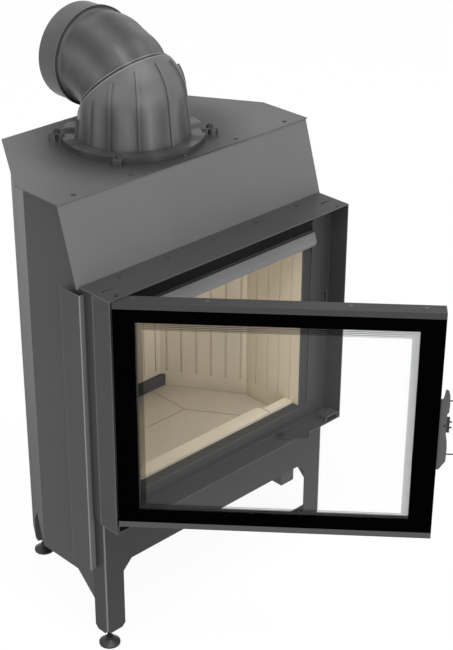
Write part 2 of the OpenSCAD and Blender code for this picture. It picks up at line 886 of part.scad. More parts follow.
module rear_air_bar() {
    slack = gap * 2;
    lean = (lining_half_w - lining_rear_half_w) / (lining_rear_y - lining_corner_y);
    w = lining_rear_half_w - slack;
    y = lining_rear_y - gap;
    color(steel_grey)
        plan_prism([[-w, y], [w, y], [w + air_bar_d * lean, y - air_bar_d],
                    [-w - air_bar_d * lean, y - air_bar_d]],
                   hearth_z, hearth_z + air_bar_h);
}

baffle_y = 165;
baffle_t = 28;

module baffle_board() {
    color(board_beige) intersection() {
        plan_prism(lining_outline(0, lining_t - 2 * gap), lining_top_z, lining_top_z + baffle_t);
        block([-casing_half_w, baffle_y, 0], [casing_half_w, casing_rear_y, top_z]);
    }
}

// underside of the air wash bar's shelf
bar_shelf_z = 823.8;

// A bent bar across the top of the mouth, with a rounded nose towards the door.
module air_wash_bar() {
    t = 3;
    web_y = 54.6;
    web_z = 844.5;
    nose = [[44.4, bar_shelf_z + t], [38.2, 810], [37.1, 803], [40, 795]];
    behind = [[42.7, 796.6], [40.3, 803.4], [41.1, 809.2], [46.5, bar_shelf_z]];
    half_w = mouth_half_w - gap;
    profile = concat([[web_y, web_z], [web_y, bar_shelf_z + t]], nose, behind,
                     [[web_y + t, bar_shelf_z], [web_y + t, web_z]]);
    color(steel_grey) side_prism(profile, -half_w, half_w);
}

// Air supply.

module air_box() {
    x0 = -150;
    x1 = 262;
    y0 = apron_y + casing_t + gap;
    y1 = 290;
    z0 = 222;
    z1 = shell_floor_z - shell_t;
    t = 2;
    drop_x0 = 212;
    drop_x1 = 253;
    drop_y1 = 96;
    drop_z = 178;
    color(steel_grey) difference() {
        union() {
            block([x0, y0, z0], [x1, y1, z1]);
            block([drop_x0, y0, drop_z], [drop_x1, drop_y1, z0 + t]);
            translate([spigot_at[0], spigot_at[1], z0 - spigot_len])
                cylinder(r = spigot_r, h = spigot_len + t);
        }
        block([x0 + t, y0 + t, z0 + t], [x1 - t, y1 - t, z1 - t]);
        block([drop_x0 + t, y0 + t, drop_z + t], [drop_x1 - t, drop_y1 - t, z0 + 2 * t]);
        translate([spigot_at[0], spigot_at[1], z0 - spigot_len - overrun])
            cylinder(r = spigot_r - t, h = spigot_len + 2 * t);
        air_slots();
    }
}

lever_t = 3;
lever_pin_r = 4;

module on_lever() {
    translate([lever_at[0], lever_at[1], surround_floor_z + gap])
        rotate([0, 0, lever_deg]) children();
}

module lever_pivot() {
    head_r = 8;
    head_h = 3;
    under = 7;
    color(zinc_grey) translate([lever_at[0], lever_at[1], surround_floor_z]) {
        translate([0, 0, lever_t + 2 * gap]) cylinder(r = head_r, h = head_h);
        translate([0, 0, -under]) cylinder(r = lever_pin_r, h = under + lever_t + 2 * gap);
    }
}

module air_lever() {
    lip_h = 8;
    color(steel_grey) on_lever() difference() {
        union() {
            cylinder(r = lever_w / 2, h = lever_t);
            block([0, -lever_w / 2, 0], [lever_len, lever_w / 2, lever_t]);
            block([lever_len - lever_t, -lever_w / 2, 0], [lever_len, lever_w / 2, lip_h]);
        }
        translate([0, 0, -overrun])
            cylinder(r = lever_pin_r + pin_play, h = lever_t + 2 * overrun);
    }
}

// Screws.

module casing_screws() {
    color(zinc_grey) {
        for (i = [-2 : 2]) {
            translate([i * top_plate_screw_pitch, top_plate_screw_y, top_z]) screw_down();
            translate([i * top_screw_pitch, top_screw_y, surround_top_z]) screw_down();
        }
        both_sides() at_flange_screws() rotate([180, 0, 0]) screw_down();
    }
}

// Flue outlet.

joint_low = dome_to_joint * sin(45);
joint_y = flue_y + joint_low;
joint_z = dome_z + joint_low;
bend_y = joint_y + bend_r * sin(45);
bend_z = joint_z - bend_r * cos(45);
drum_foot_z = top_z + flue_flange_t;
elbow_inner_r = elbow_r - cast_t;

// Local Z is the axis that the elbow turns on, with its origin in the joint plane.
module on_joint() {
    translate([0, joint_y, joint_z]) rotate([-45, 0, 0]) children();
}

module below_joint(slack) {
    far = 3 * elbow_r;
    on_joint() translate([-far, -far, -2 * far - slack]) cube([2 * far, 2 * far, 2 * far]);
}

// The drum and its dome, thickened by a given amount.
module drum(extra) {
    translate([0, flue_y, drum_foot_z - overrun])
        cylinder(r1 = drum_foot_r + extra, r2 = drum_top_r + extra,
                 h = dome_z - drum_foot_z + overrun);
    translate([0, flue_y, dome_z]) sphere(r = drum_top_r + extra);
}

joint_lip_t = 5;
joint_lip_w = 4;

module flue_base() {
    color(cast_grey) difference() {
        union() {
            translate([0, flue_y, top_z]) cylinder(r = flue_flange_r, h = flue_flange_t);
            intersection() {
                drum(0);
                below_joint(joint_lip_t / 2);
            }
            intersection() {
                drum(rib_h);
                below_joint(rib_drop);
                union() for (deg = rib_deg)
                    translate([0, flue_y, top_z]) rotate([0, 0, deg])
                        block([drum_top_r / 2, -rib_w / 2, 0],
                              [flue_flange_r, rib_w / 2, joint_z]);
            }
            on_joint() translate([0, 0, -joint_lip_t])
                cylinder(r = elbow_r + joint_lip_w, h = joint_lip_t);
        }
        block([-drum_foot_r, flue_y - drum_foot_r, top_z - drum_top_r],
              [drum_foot_r, flue_y + drum_foot_r, top_z]);
        translate([0, flue_y, top_z - overrun])
            cylinder(r = drum_top_r - cast_t, h = dome_z - top_z + overrun);
        translate([0, flue_y, dome_z]) sphere(r = drum_top_r - cast_t);
        on_joint() translate([0, 0, -joint_lip_t - overrun])
            cylinder(r = elbow_inner_r, h = joint_lip_t + 2 * overrun);
    }
}

// Local Z points out of the outlet, with its origin at the end of the bend.
module on_outlet() {
    translate([0, bend_y, bend_z + bend_r]) rotate([-90, 0, 0]) children();
}

// A tube that turns from the joint's axis to the outlet's axis in three straight
// runs with a ball at both turns; the balls stand out by a trace.
module bend(tube_r) {
    ball_r = tube_r + ball_trace;
    run = bend_r * tan(45 / 4);
    on_joint() {
        cylinder(r = tube_r, h = run);
        translate([0, 0, run]) sphere(r = ball_r);
        translate([0, 0, run]) rotate([-45 / 2, 0, 0]) cylinder(r = tube_r, h = 2 * run);
    }
    on_outlet() {
        translate([0, 0, -run]) sphere(r = ball_r);
        translate([0, 0, -run]) cylinder(r = tube_r, h = run + overrun);
    }
}

ball_trace = 0.6;
bead_w = 9;
bead_h = 3.5;

module flue_elbow() {
    color(cast_grey) difference() {
        union() {
            difference() {
                bend(elbow_r);
                below_joint(-gap);
            }
            on_outlet() {
                cylinder(r1 = elbow_r, r2 = outlet_r, h = bead_run);
                translate([0, 0, bead_run - overrun])
                    cylinder(r = outlet_r, h = outlet_run - bead_run + overrun);
                translate([0, 0, bead_run - bead_w / 2])
                    cylinder(r = outlet_r + bead_h, h = bead_w);
            }
            on_joint() translate([0, 0, gap])
                cylinder(r = elbow_r + joint_lip_w, h = joint_lip_t);
        }
        bend(elbow_inner_r);
        on_outlet() {
            translate([0, 0, -overrun]) cylinder(r = elbow_inner_r, h = outlet_run);
            translate([0, 0, outlet_run - outlet_bore_d])
                cylinder(r = outlet_bore_r, h = outlet_bore_d + elbow_r);
        }
        on_joint() translate([0, 0, -overrun])
            cylinder(r = elbow_inner_r, h = joint_lip_t + overrun);
    }
}

clamp_in = 149;
clamp_out = 184;
clamp_w = 17;
clamp_t = 3;

module flue_clamps() {
    under_z = top_z + flue_flange_t + gap;
    color(steel_grey) at_clamps() difference() {
        union() {
            block([clamp_in, -clamp_w / 2, under_z], [clamp_out, clamp_w / 2, under_z + clamp_t]);
            block([clamp_out - clamp_t, -clamp_w / 2, top_z],
                  [clamp_out, clamp_w / 2, under_z + clamp_t]);
        }
        translate([clamp_bolt_run, 0, under_z - overrun])
            cylinder(r = clamp_hole_r, h = clamp_t + 2 * overrun);
    }
}

module clamp_bolts() {
    bolt_r = 4;
    nut_r = 7.5;
    nut_h = 6.5;
    tip = 3;
    under = 12;
    nut_z = top_z + flue_flange_t + gap + clamp_t;
    color(zinc_grey) at_clamps() translate([clamp_bolt_run, 0, 0]) {
        translate([0, 0, nut_z]) cylinder(r = nut_r, h = nut_h, $fn = 6);
        translate([0, 0, top_under_z - under])
            cylinder(r = bolt_r, h = nut_z + nut_h + tip - top_under_z + under);
        translate([0, 0, top_under_z - nut_h]) cylinder(r = nut_r, h = nut_h, $fn = 6);
    }
}

// Door.

// Local X runs along the glass from its hinged edge, local Y is the depth behind
// the outer face of the glass, and Z stays the height above the floor.
module on_door() {
    translate([hinge_at[0], hinge_at[1], 0]) rotate([0, 0, -door_open_deg])
        translate([glass_left_x - hinge_at[0], glass_front_y - hinge_at[1], 0]) children();
}

function hinge_along() = hinge_at[0] - glass_left_x;
function hinge_behind() = hinge_at[1] - glass_front_y;

glass_top_z = glass_bottom_z + glass_h;
tube_front_d = glass_t + 0.5;
tube_back_d = 50;
tube_outer_a = 12;
tube_inner_a = 42;
tube_low_z = 361;
tube_low_h = 15;
tube_high_z = 872;
tube_high_h = 26;
boss_r = 7;

// A closed rectangular tube frame around the window.
module tube_frame() {
    far_a = glass_w - 2;
    difference() {
        block([tube_outer_a, tube_front_d, tube_low_z],
              [far_a - tube_outer_a, tube_back_d, tube_high_z]);
        block([tube_inner_a, tube_front_d - overrun, tube_low_z + tube_low_h],
              [far_a - tube_inner_a, tube_back_d + overrun, tube_high_z - tube_high_h]);
        tube_hollow([tube_outer_a, tube_low_z], [tube_inner_a, tube_high_z]);
        tube_hollow([far_a - tube_inner_a, tube_low_z], [far_a - tube_outer_a, tube_high_z]);
        tube_hollow([tube_inner_a, tube_low_z],
                    [far_a - tube_inner_a, tube_low_z + tube_low_h]);
        tube_hollow([tube_inner_a, tube_high_z - tube_high_h],
                    [far_a - tube_inner_a, tube_high_z]);
    }
}

module tube_hollow(low, high) {
    block([low[0] + door_t, tube_front_d + door_t, low[1] + door_t],
          [high[0] - door_t, tube_back_d - door_t, high[1] - door_t]);
}

module door_frame() {
    lip_t = 2.2;
    seat_gap = 0.3;
    color(steel_grey) on_door() difference() {
        union() {
            tube_frame();
            block([0, 0, rail_top_z - door_t], [glass_w, rail_d, rail_top_z]);
            block([0, 0, glass_top_z + seat_gap], [glass_w, lip_t, rail_top_z]);
            block([0, rail_d - door_t, tube_high_z - overrun], [glass_w, rail_d, rail_top_z]);
            block([0, 0, rail_bottom_z], [glass_w, rail_d, rail_bottom_z + door_t]);
            block([0, 0, rail_bottom_z], [glass_w, lip_t, glass_bottom_z - seat_gap]);
            block([0, rail_d - door_t, rail_bottom_z],
                  [glass_w, rail_d, tube_low_z + overrun]);
            translate([hinge_along(), hinge_behind(), tube_high_z + overrun])
                cylinder(r = boss_r, h = rail_top_z - tube_high_z - overrun);
        }
        translate([hinge_along(), hinge_behind(), tube_high_z - overrun])
            cylinder(r = hinge_pin_r, h = rail_top_z - tube_high_z + 2 * overrun);
        translate([hinge_along(), hinge_behind(), rail_bottom_z - overrun])
            cylinder(r = hinge_pin_r, h = door_t + 2 * overrun);
        at_rail_screws() translate([0, 0, -screw_len])
            cylinder(r = screw_hole_r, h = screw_len + overrun);
    }
}

module at_rail_screws() {
    behind = 20;
    for (a = [39, 187, glass_w - 187, glass_w - 39])
        translate([a, behind, rail_top_z]) children();
}

module rail_screws() {
    head_h = 0.6;
    length = 6;
    color(zinc_grey) on_door() at_rail_screws() {
        cylinder(r = screw_head_r, h = head_h);
        translate([0, 0, -length]) cylinder(r = screw_shank_r, h = length + head_h);
    }
}

module door_glass() {
    color(glass_tint) on_door()
        block([0, 0, glass_bottom_z], [glass_w, glass_t, glass_top_z]);
}

module door_gasket() {
    inset = 6;
    a0 = tube_outer_a + inset;
    a1 = glass_w - 2 - a0;
    z0 = tube_low_z + tube_low_h / 2;
    z1 = tube_high_z - inset;
    color(rope_grey) on_door() translate([0, tube_back_d + rope_r, 0]) {
        for (a = [a0, a1]) translate([a, 0, z0]) {
            cylinder(r = rope_r, h = z1 - z0);
            sphere(r = rope_r);
            translate([0, 0, z1 - z0]) sphere(r = rope_r);
        }
        for (z = [z0, z1]) translate([a0, 0, z]) rotate([0, 90, 0])
            cylinder(r = rope_r, h = a1 - a0);
    }
}

module hinge_pins() {
    above = 2.5;
    top_len = 16;
    low_len = 9;
    collar_r = 8;
    color(zinc_grey) on_door() translate([hinge_along(), hinge_behind(), 0]) {
        translate([0, 0, surround_top_z + above - top_len])
            cylinder(r = hinge_pin_r, h = top_len);
        translate([0, 0, hinge_plate_z - low_len])
            cylinder(r = hinge_pin_r, h = rail_bottom_z + door_t - hinge_plate_z + low_len);
        translate([0, 0, hinge_plate_z]) cylinder(r = collar_r, h = rail_bottom_z - hinge_plate_z);
    }
}

latch_a = 666;
latch_z = 631;
latch_plate_d = 4.8;
latch_plate_t = 3;

function latch_x() = glass_left_x + latch_a;

// Outline of the plate beside the glass, along the door and above the floor.
latch_outline = [
    [641.4, 527], [657, 527], [660, 526.5], [673.5, 547], [674, 577], [673, 595],
    [670, 612], [670, 658], [673.5, 663], [674.2, 680], [673.3, 701], [670.5, 711],
    [667, 714.5], [663.5, 712], [662.4, 703], [659.5, 690], [641.4, 690]];

module latch_plate() {
    web_d = 34;
    color(steel_grey) on_door() difference() {
        union() {
            front_prism(latch_outline, latch_plate_d, latch_plate_d + latch_plate_t);
            block([latch_outline[0][0], latch_plate_d, latch_outline[0][1]],
                  [latch_outline[0][0] + latch_plate_t, web_d, 690]);
        }
        translate([latch_a, latch_plate_d - overrun, latch_z]) rotate([-90, 0, 0])
            cylinder(r = cam_shaft_r + pin_play, h = latch_plate_t + 2 * overrun);
    }
}

cam_shaft_r = 3.2;

// Shaft, grip and finger that turn together; the finger passes the slot in the
// seat and turns behind it.
module latch_cam() {
    grip_d0 = latch_plate_d + latch_plate_t + gap;
    grip_t = 4.6;
    grip_half_h = 17.5;
    grip_a0 = -7;
    grip_a1 = 10.4;
    finger_d0 = 68;
    finger_t = 3.5;
    finger_len = 24;
    finger_half_w = 4;
    peg_r = 1.7;
    peg_len = 4.5;
    peg_up = 6.5;
    color(black_paint) on_door() translate([latch_a, 0, latch_z]) {
        translate([0, latch_plate_d, 0]) rotate([-90, 0, 0])
            cylinder(r = cam_shaft_r, h = finger_d0 - latch_plate_d + finger_t);
        block([grip_a0, grip_d0, -grip_half_h], [grip_a1, grip_d0 + grip_t, grip_half_h]);
        for (z = [-peg_up, peg_up])
            translate([grip_a1 - overrun, grip_d0 + grip_t / 2, z]) rotate([0, 90, 0])
                cylinder(r = peg_r, h = peg_len + overrun);
        block([-finger_half_w, finger_d0, -finger_half_w],
              [finger_half_w, finger_d0 + finger_t, finger_len]);
    }
}

module latch_studs() {
    stud_r = 1.5;
    stud_len = 14;
    color(zinc_grey) on_door() for (z = [563.5, 689])
        translate([673.9, latch_plate_d + latch_plate_t / 2, z]) rotate([0, 90, 0])
            cylinder(r = stud_r, h = stud_len);
}

top_plate();
side_wall_left();
side_wall_right();
chamfer_wall_left();
chamfer_wall_right();
rear_wall();
hood_panel();
front_flange_left();
front_flange_right();
side_strip_left();
side_strip_right();
front_apron();
rear_foot_bracket_left();
rear_foot_bracket_right();
surround_top();
surround_bottom();
surround_left();
surround_right();
hinge_plates();
seat_frame();
firebox_shell();
firebox_floor();
lining_side_left();
lining_side_right();
lining_chamfer_left();
lining_chamfer_right();
lining_rear();
hearth_centre();
hearth_rear();
hearth_left();
hearth_right();
hearth_lip_left();
hearth_lip_right();
log_guard();
rear_air_bar();
baffle_board();
air_wash_bar();
air_box();
casing_screws();
weld_nuts();
flue_clamps();
clamp_bolts();
flue_base();
flue_elbow();
foot_front_left();
foot_front_right();
foot_rear_left();
foot_rear_right();
lever_pivot();
air_lever();
door_frame();
door_glass();
door_gasket();
hinge_pins();
rail_screws();
latch_plate();
latch_cam();
latch_studs();
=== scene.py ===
"""A fireplace insert with its door open: its finishes, and a studio around it."""

import math

import bmesh
import bpy
from bpy.props import FloatProperty, FloatVectorProperty, PointerProperty
from mathutils import Matrix, Vector

bl_info = {
    "name": "Fireplace insert",
    "version": (1, 0, 0),
    "blender": (4, 5, 0),
    "location": "3D View > Sidebar > Insert",
    "description": "Dresses a built-in fireplace insert and sets up its studio",
    "category": "Add Mesh",
}

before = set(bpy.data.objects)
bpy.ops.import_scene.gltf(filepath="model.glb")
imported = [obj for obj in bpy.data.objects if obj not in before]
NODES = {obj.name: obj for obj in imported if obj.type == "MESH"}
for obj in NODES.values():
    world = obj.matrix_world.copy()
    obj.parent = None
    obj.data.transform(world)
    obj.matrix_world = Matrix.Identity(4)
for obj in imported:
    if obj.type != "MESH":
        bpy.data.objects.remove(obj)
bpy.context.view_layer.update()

# The photograph's height in pixels, and the camera that was fitted to it.
PHOTO_H = 650
CAMERA_AT = Vector((-2.1037, -2.1287, 2.2885))
CAMERA_FORWARD = Vector((0.6177, 0.6337, -0.4658))
CAMERA_UP = Vector((0.3221, 0.3365, 0.8849))
FOCAL_PX = 1577.5
SENSOR_MM = 36.0

# The door as it is drawn: its hinge axis, its opening, and the glass's corner.
HINGE_AT = Vector((-0.322, 0.010, 0.0))
DOOR_OPEN = math.radians(47.7)
GLASS_CORNER = Vector((-0.329, -0.014, 0.372))
GLASS_SIZE = (0.655, 0.502)

# The elbow bends about this axis, which runs along x, on this radius.
BEND_AT = (0.0, 0.4306, 1.0818)
BEND_R = 0.125
# The elbow's pillows fade out between these distances past the end of the bend.
BEND_FADE = (-0.004, 0.012)
# The middle of the bead around the elbow's outlet, along y, and how far from it the lines of
# painted shade beside it begin and end.
BEAD_Y = 0.4468
BEAD_LINE_IN, BEAD_LINE_OUT = (0.0038, 0.0046), (0.0064, 0.0076)
# The slanted joint between the drum and the elbow has its middle here.
JOINT_AT = (0.0, 0.3422, 1.1702)
# How far from the joint's face its dark seam and its lips, which get a painted highlight,
# begin and end to fade.
SEAM_REACH, LIPS_REACH = (0.0020, 0.0034), (0.0048, 0.0062)
# The drum stands on this upright axis.
DRUM_AT = (0.0, 0.321)
# The heights between which the flange, painted darker as painted shade, gives way to the drum,
# and those between which the drum's pillows fade out.
FLANGE_TOP, CROWN = (1.0662, 1.0685), (1.12, 1.18)
# How many pillows go around the elbow and the drum, and how deep they are.
BENT_PILLOWS, DRUM_PILLOWS = (9.0, 0.0026), (12.0, 0.003)
# The top sheet around the drum gets a painted shadow up to the first radius, fading out by the
# second.
RING_REACH = (0.18, 0.33)

# How far back the folded lip of the side strips goes, and where its outer corner starts; the
# lip is painted lighter and the corner gets a painted highlight. Then the same for the painted
# highlight on the corner of the front legs.
LIP_BACK, LIP_CORNER = 0.0866, 0.3548
LEG_FRONT, LEG_CORNER = 0.0556, 0.3402

# Heights above the door's lower rail, which is painted lighter, above the screws beside the
# side strips, which get a painted highlight, and where the thread of a foot starts.
LOW_RAIL_TOP, CHANNEL_TOP, STEM_FROM = 0.5, 0.82, 0.0195
# The boards beside the mouth are painted paler, as painted light, up to where they end between
# these two values of y.
SIDE_BOARDS_END = (0.2, 0.26)
# The rope's strands repeat at this distance.
STRAND_EVERY = 0.009
# The numbers of the sockets of a Mix node that mixes colours.
MIX_SHARE, MIX_FIRST, MIX_SECOND, MIXED_COLOUR = 0, 6, 7, 2

WALLS = ["side_wall_left", "side_wall_right", "rear_wall", "air_box",
         "chamfer_wall_right"]
STRIPS = ["side_strip_left", "side_strip_right"]
LEGS = ["front_apron", "rear_foot_bracket_left", "rear_foot_bracket_right",
        "front_flange_left", "front_flange_right"]
SURROUND = ["surround_top", "surround_bottom", "surround_left", "surround_right",
            "hinge_plates", "flue_clamps"]
FIREBOX_STEEL = ["firebox_shell", "firebox_floor", "rear_air_bar"]
LINING = ["lining_side_left", "lining_side_right", "lining_chamfer_left",
          "lining_chamfer_right", "lining_rear", "baffle_board"]
HEARTH = ["hearth_centre", "hearth_rear", "hearth_left", "hearth_right"]
FENCE = ["log_guard", "hearth_lip_left", "hearth_lip_right"]
FEET = ["foot_front_left", "foot_front_right", "foot_rear_left", "foot_rear_right"]
SMALL_ZINC = ["lever_pivot", "hinge_pins", "latch_studs"]
DARK_BOLTS = ["weld_nuts", "clamp_bolts", "air_lever"]
SCREWS = ["casing_screws", "rail_screws"]


class Sock:
    """A shader socket that does maths: each operator adds one Math node."""

    def __init__(self, tree, socket):
        self.tree, self.socket = tree, socket

    def maths(self, operation, *values):
        """Adds a Math node and returns what comes out of it."""
        node = self.tree.nodes.new("ShaderNodeMath")
        node.operation = operation
        for slot, value in zip(node.inputs, values):
            plug(self.tree, slot, value)
        return Sock(self.tree, node.outputs[0])

    def __add__(self, other):
        return self.maths("ADD", self, other)

    def __radd__(self, other):
        return self.maths("ADD", other, self)

    def __sub__(self, other):
        return self.maths("SUBTRACT", self, other)

    def __rsub__(self, other):
        return self.maths("SUBTRACT", other, self)

    def __mul__(self, other):
        return self.maths("MULTIPLY", self, other)

    def __rmul__(self, other):
        return self.maths("MULTIPLY", other, self)

    def __truediv__(self, other):
        return self.maths("DIVIDE", self, other)

    def __rtruediv__(self, other):
        return self.maths("DIVIDE", other, self)

    def __gt__(self, other):
        return self.maths("GREATER_THAN", self, other)

    def __lt__(self, other):
        return self.maths("LESS_THAN", self, other)

    def __abs__(self):
        return self.maths("ABSOLUTE", self)

    def __pow__(self, other):
        return self.maths("POWER", self, other)

    def maximum(self, other):
        return self.maths("MAXIMUM", self, other)

    def minimum(self, other):
        return self.maths("MINIMUM", self, other)

    def floor(self):
        return self.maths("FLOOR", self)

    def fract(self):
        return self.maths("FRACT", self)

    def sine(self):
        return self.maths("SINE", self)

    def angle_to(self, other):
        """The angle whose sine goes with this value and whose cosine with the other."""
        return self.maths("ARCTAN2", self, other)


def plug(tree, slot, value):
    """Links a socket to an input, or sets the input to a number or a colour."""
    if isinstance(value, Sock):
        tree.links.new(value.socket, slot)
    elif isinstance(value, (tuple, list)) and slot.type == "RGBA":
        slot.default_value = tuple(value)[:3] + (1.0,)
    else:
        slot.default_value = value


def shade(colour, light):
    """A colour made lighter or darker by a factor."""
    return [part * light for part in colour]


class Graph:
    """A node tree that nodes are added to."""

    def __init__(self, tree):
        self.tree = tree

    def node(self, kind, settings=None, out=0, slots=None, **inputs):
        """Adds a node, sets it, fills inputs by number and name, and returns an output."""
        made = self.tree.nodes.new("ShaderNode" + kind)
        for key, value in (settings or {}).items():
            setattr(made, key, value)
        for number, value in (slots or {}).items():
            plug(self.tree, made.inputs[number], value)
        for key, value in inputs.items():
            plug(self.tree, made.inputs[key.replace("_", " ")], value)
        return Sock(self.tree, made.outputs[out])

    def seen(self):
        """1 for camera, glossy and transmission rays."""
        return (self.node("LightPath", out="Is Camera Ray")
                .maximum(self.node("LightPath", out="Is Glossy Ray"))
                .maximum(self.node("LightPath", out="Is Transmission Ray")))


class Finish(Graph):
    """A material that is built node by node on one Principled shader."""

    def __init__(self, name):
        self.material = bpy.data.materials.new(name)
        self.material.use_nodes = True
        super().__init__(self.material.node_tree)
        self.shader = self.tree.nodes["Principled BSDF"]
        self.output = self.tree.nodes["Material Output"]
        self.place = self.node("TexCoord", out="Object")

    def noise(self, scale, detail=3.0, roughness=0.55, place=None):
        """Soft noise between 0 and 1, with its scale in bumps to the metre."""
        return self.node("TexNoise", Vector=place or self.place, Scale=scale,
                         Detail=detail, Roughness=roughness)

    def cells(self, scale):
        """How far a point is from the middle of its cell, for grains and crystals."""
        return self.node("TexVoronoi", Vector=self.place, Scale=scale)

    def step(self, value, low, high):
        """0 below low, 1 above high, and smooth between."""
        return self.node("MapRange", {"interpolation_type": "SMOOTHSTEP"}, Value=value,
                         From_Min=low, From_Max=high)

    def mix(self, share, first, second):
        """A colour that goes from the first to the second as the share goes from 0 to 1."""
        return self.node("Mix", {"data_type": "RGBA"}, MIXED_COLOUR,
                         {MIX_SHARE: share, MIX_FIRST: first, MIX_SECOND: second})

    def mix_shaders(self, share, first, second):
        """A surface that goes from the first to the second in the same way."""
        return self.node("MixShader", slots={0: share, 1: first, 2: second})

    def show(self, surface):
        """Sends a surface to the material's output."""
        plug(self.tree, self.output.inputs["Surface"], surface)
        return self

    def painted(self):
        """The surface that the Principled shader makes."""
        return Sock(self.tree, self.shader.outputs[0])

    def axes(self, place=None):
        """The x, y and z of a place."""
        x = self.node("SeparateXYZ", Vector=place or self.place)
        return [Sock(self.tree, slot) for slot in x.socket.node.outputs]

    def stretched(self, x, y, z):
        """Object coordinates stretched along the axes, for streaks."""
        return self.node("Mapping", Vector=self.place, Scale=(x, y, z))

    def turned(self, about, angle):
        """Object coordinates turned about a point, so a pattern follows a turned piece."""
        shifted = self.node("VectorMath", {"operation": "SUBTRACT"},
                            slots={0: self.place, 1: about})
        return self.node("VectorRotate", {"rotation_type": "Z_AXIS"}, Vector=shifted,
                         Angle=angle)

    def bump(self, height, depth, strength=1.0, under=None):
        """A normal that follows a height, on top of the normal under it."""
        below = {} if under is None else {"Normal": under}
        return self.node("Bump", Strength=strength, Distance=depth, Height=height, **below)

    def edges(self, radius):
        """1 on edges and 0 on open faces, from how far a rounded normal leans."""
        rounded = self.node("Bevel", {"samples": 4}, Radius=radius)
        plain = self.node("NewGeometry", out="Normal")
        lean = self.node("VectorMath", {"operation": "DOT_PRODUCT"}, "Value",
                         {0: rounded, 1: plain})
        return self.step(1.0 - lean, 0.02, 0.35)

    def surface(self, **inputs):
        """Fills inputs of the Principled shader."""
        for key, value in inputs.items():
            plug(self.tree, self.shader.inputs[key.replace("_", " ")], value)
        return self


def paint(names, finish):
    """Gives CAD nodes a finish in every slot they have."""
    for name in names:
        mesh = NODES[name].data
        mesh.materials.clear()
        mesh.materials.append(finish.material)


class InsertColours(bpy.types.PropertyGroup):
    """Colours of the insert's finishes."""

    paint: FloatVectorProperty(
        name="Casing paint", subtype="COLOR", size=3, min=0, max=1,
        default=(0.062, 0.062, 0.063), description="Matt heat-proof paint of the sheet metal")
    casting: FloatVectorProperty(
        name="Casting paint", subtype="COLOR", size=3, min=0, max=1,
        default=(0.060, 0.060, 0.061), description="Paint on the cast flue outlet")
    board: FloatVectorProperty(
        name="Lining board", subtype="COLOR", size=3, min=0, max=1,
        default=(0.66, 0.58, 0.455), description="Pressed lining boards of the firebox")
    brick: FloatVectorProperty(
        name="Hearth brick", subtype="COLOR", size=3, min=0, max=1,
        default=(0.61, 0.54, 0.42), description="Bricks of the hearth")
    zinc: FloatVectorProperty(
        name="Zinc", subtype="COLOR", size=3, min=0, max=1,
        default=(0.05, 0.05, 0.052), description="Plated feet, pins and studs")
    print_black: FloatVectorProperty(
        name="Printed border", subtype="COLOR", size=3, min=0, max=1,
        default=(0.0006, 0.0006, 0.0006), description="Black border printed on the glass")
    rope: FloatVectorProperty(
        name="Rope seal", subtype="COLOR", size=3, min=0, max=1,
        default=(0.050, 0.049, 0.047), description="Woven rope seal of the door")
    # Sooty black with painted shadow for the slot behind the air-wash bar.
    soot_and_shadow: FloatVectorProperty(
        name="Soot and shadow", subtype="COLOR", size=3, min=0, max=1,
        default=(0.022, 0.022, 0.022), description="Black of the slot behind the air-wash bar")


class InsertSizes(bpy.types.PropertyGroup):
    """Sizes of what the finishes add."""

    border_hinge: FloatProperty(
        name="Border at the hinges", unit="LENGTH", default=0.044, min=0.01, max=0.1,
        description="Width of the printed border on the hinge side of the window")
    border_latch: FloatProperty(
        name="Border at the latch", unit="LENGTH", default=0.0496, min=0.01, max=0.1,
        description="Width of the printed border on the latch side of the window")
    border_top: FloatProperty(
        name="Border at the top", unit="LENGTH", default=0.0285, min=0.01, max=0.1,
        description="Height of the printed border above the window")
    border_bottom: FloatProperty(
        name="Border at the bottom", unit="LENGTH", default=0.031, min=0.01, max=0.1,
        description="Height of the printed border below the window")
    dot_band: FloatProperty(
        name="Dot band", unit="LENGTH", default=0.0155, min=0.0, max=0.05,
        description="Width of the band of dots inside the border")
    dot_pitch: FloatProperty(
        name="Dot pitch", unit="LENGTH", default=0.004, min=0.001, max=0.01,
        description="Distance between the dots")
    thread_pitch: FloatProperty(
        name="Thread pitch", unit="LENGTH", default=0.0015, min=0.0005, max=0.003,
        description="Distance between the turns of the foot threads")
    # Heights between which the slot over the mouth is painted sooty black, with painted
    # shadow.
    soot_and_shadow_above: FloatProperty(
        name="Soot above", unit="LENGTH", default=0.8275, min=0.5, max=1.2,
        description="Height above which the slot over the mouth is black")
    soot_and_shadow_below: FloatProperty(
        name="Soot below", unit="LENGTH", default=0.8855, min=0.5, max=1.2,
        description="Height up to which the slot over the mouth is black")
    slot_half_w: FloatProperty(
        name="Half of the slot", unit="LENGTH", default=0.2885, min=0.1, max=0.5,
        description="Half of the length of the dark slot over the mouth")


def colours():
    """The colours that the panel shows."""
    return bpy.context.scene.insert_colours


def sizes():
    """The sizes that the panel shows."""
    return bpy.context.scene.insert_sizes


